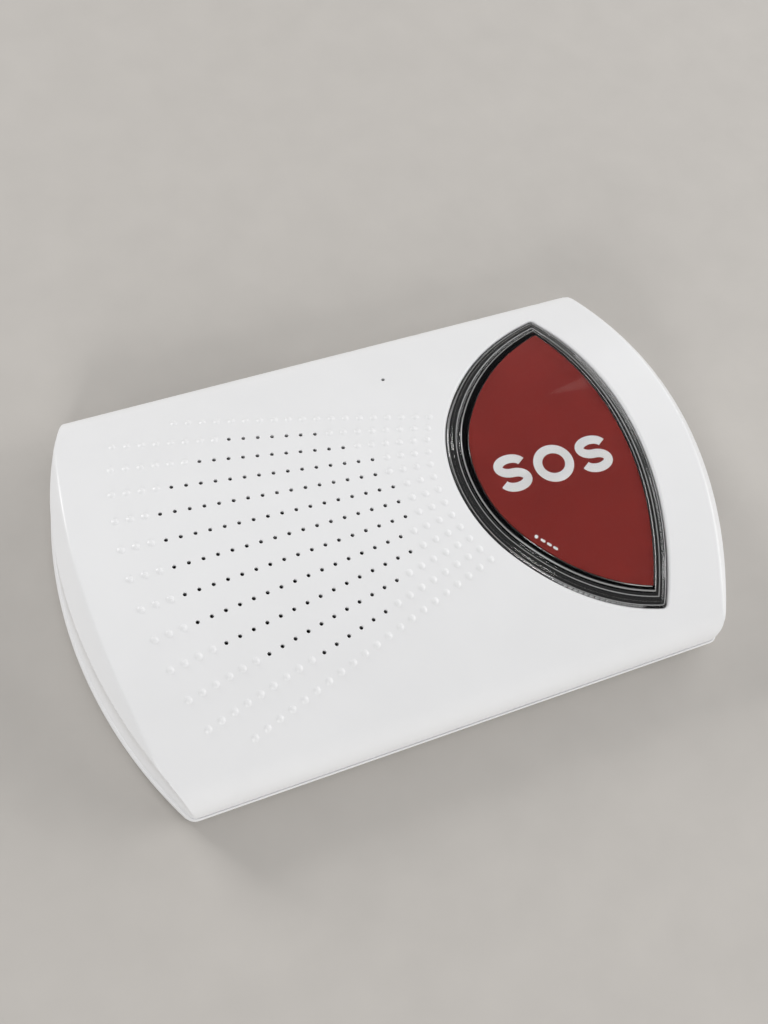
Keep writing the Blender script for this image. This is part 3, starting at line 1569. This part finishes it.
@dataclass
class ReturnSprings:
    """The coil springs that lift the help button and shorten as it goes down."""

    count: int = 3
    wire: float = 0.35
    turns: int = 5
    travel: float = 1.5
    steps: int = 20
    wire_steps: int = 8

    def build(self) -> None:
        """Builds each spring where the model has it."""
        for number in range(1, self.count + 1):
            self.coil(number)

    def coil(self, number: int) -> None:
        """Builds one spring as a wire wound round its guide.

        Args:
            number: Number of the spring.
        """
        node = f"return_spring_{number}"
        low, high = (np.array(corner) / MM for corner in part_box(node))
        middle, height = (low + high) / 2.0, high[2] - low[2]
        radius = (high[0] - low[0]) / 2.0 - self.wire
        turn = np.linspace(0.0, 2.0 * math.pi * self.turns, self.turns * self.steps + 1)
        climb = np.linspace(low[2] + self.wire, high[2] - self.wire, len(turn))
        maker, rows = MeshMaker(), []
        section = circle((0.0, 0.0), self.wire, self.wire_steps)
        for angle, z in zip(turn, climb):
            far = radius + section[:, 0]
            rows.append(maker.add(upright(middle[0] + far * math.cos(angle), middle[1] + far * math.sin(angle),
                                          z + section[:, 1])))
        maker.rows(rows)
        maker.caps(rows)
        spring = mount(maker.finish(f"return_coil_{number}"), ZINC, Body.CASE, "spring_steel", node)
        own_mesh(spring)


@dataclass
class Inside:
    """The solids of the model that stay, with the finish of what they are made of."""

    finishes: dict[str, Finish] = field(default_factory=lambda: {
        "button_carrier": BLACK, "switch_body": BLACK, "switch_plunger": IVORY, "status_lamp": LAMP,
        "light_pipe": GUIDE, "main_board": BOARD, "main_board_screws": ZINC, "board_chips": CHIP,
        "board_connectors": IVORY, "radio_module": TIN, "antenna": BRASS, "speaker_basket": BASKET,
        "speaker_cone": PAPER, "speaker_magnet": ZINC, "speaker_gasket": FOAM, "speaker_screws": ZINC,
        "microphone": ALUMINIUM, "microphone_boot": RUBBER, "backup_cell": SLEEVE,
        "battery_door_screw": ZINC, "jack_board": BOARD, "jack_board_screws": ZINC, "power_jack": BLACK,
        "line_jack": IVORY, "power_switch": BLACK, "power_switch_slider": WHITE, "ribbon_cable": RIBBON,
        "case_screws": ZINC, "speaker_clip": ZINC, "cell_contact": NICKEL,
    })

    def build(self) -> None:
        """Dresses each solid, and each numbered copy, with its finish."""
        for name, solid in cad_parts.items():
            finish = self.finishes.get(name) or self.finishes.get(name.rstrip("_0123456789"))
            if finish:
                dress(solid, finish)
                LOG.info("%s: %s", name, finish.name)


@dataclass
class Studio:
    """Pale floor, soft lights and the camera."""

    eye: Triple = (-128.07, -139.88, 414.45)
    right: Triple = (0.91922, -0.35825, 0.16334)
    up: Triple = (0.26885, 0.87419, 0.40436)
    focal_px: float = 1368.8
    picture_h: float = 1024.0
    sensor: float = 36.0
    clip_start: float = 0.01
    floor_size: float = 6.0
    floor_steps: int = 64
    world_light: float = 0.36
    aim: Triple = (0.0, 0.0, 0.02)
    lamps: tuple[tuple[str, Triple, float, float], ...] = (
        ("right_lamp", (2.0, -0.55, 0.94), 1.5, 25.5), ("far_lamp", (1.74, 1.1, 0.95), 1.5, 13.0),
        ("back_lamp", (-0.95, 1.85, 1.0), 0.8, 27.0), ("front_lamp", (-0.96, -1.83, 0.94), 0.8, 22.5))

    def camera(self) -> None:
        """Sets the camera at the photograph's viewing angle."""
        data = bpy.data.cameras.new("camera")
        data.sensor_width = self.sensor
        data.lens = self.focal_px / self.picture_h * self.sensor
        data.clip_start = self.clip_start
        camera = bpy.data.objects.new("camera", data)
        right, up = Vector(self.right).normalized(), Vector(self.up).normalized()
        back = right.cross(up)
        turn = Matrix((right, up, back)).transposed().to_4x4()
        camera.matrix_world = Matrix.Translation(Vector(self.eye) * MM) @ turn
        bpy.context.scene.collection.objects.link(camera)
        bpy.context.scene.camera = camera

    def floor(self) -> None:
        """Builds the floor."""
        mesh = bpy.data.meshes.new("floor")
        ring = circle((0.0, 0.0), self.floor_size / 2.0, self.floor_steps)
        mesh.from_pydata([(x, y, 0.0) for x, y in ring], [], [tuple(range(self.floor_steps))])
        floor = bpy.data.objects.new("floor", mesh)
        bpy.context.scene.collection.objects.link(floor)
        dress(floor, FLOOR)

    def lamp(self, name: str, place: Sequence[float], size: float, power: float) -> None:
        """Hangs a soft square lamp that looks at the object.

        Args:
            name: Name of the lamp.
            place: Place of the lamp, in metres.
            size: Side of the lamp, in metres.
            power: Power, in watts.
        """
        data = bpy.data.lights.new(name, "AREA")
        data.size, data.energy = size, power
        lamp = bpy.data.objects.new(name, data)
        lamp.location = place
        lamp.rotation_euler = (Vector(self.aim) - Vector(place)).to_track_quat("-Z", "Y").to_euler()
        bpy.context.scene.collection.objects.link(lamp)

    def build(self) -> None:
        """Builds the whole studio."""
        scene = bpy.context.scene
        scene.view_settings.view_transform = "Standard"
        world = bpy.data.worlds.new("world")
        world.use_nodes = True
        sky = world.node_tree.nodes["Background"].inputs
        sky["Color"].default_value = (1.0, 1.0, 1.0, 1.0)
        sky["Strength"].default_value = self.world_light
        scene.world = world
        self.camera()
        self.floor()
        for name, place, size, power in self.lamps:
            self.lamp(name, place, size, power)


def main() -> None:
    """Builds the studio and every piece of the console."""
    logging.basicConfig(level=logging.INFO, format="%(name)s: %(message)s")
    Studio().build()
    low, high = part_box("top_cover")
    grille, outline = Grille(), LensOutline()
    form = CaseForm(2.0 * min(high.x, -low.x) / MM, (high.y - low.y) / MM, high.z / MM - grille.dot_rise)
    TopCover(form, outline, grille).build()
    HelpButton(form, outline).build()
    BottomHousing(form).build()
    ConnectorBay(form).build()
    ReturnSprings().build()
    Inside().build()


if __name__ == "__main__":
    main()
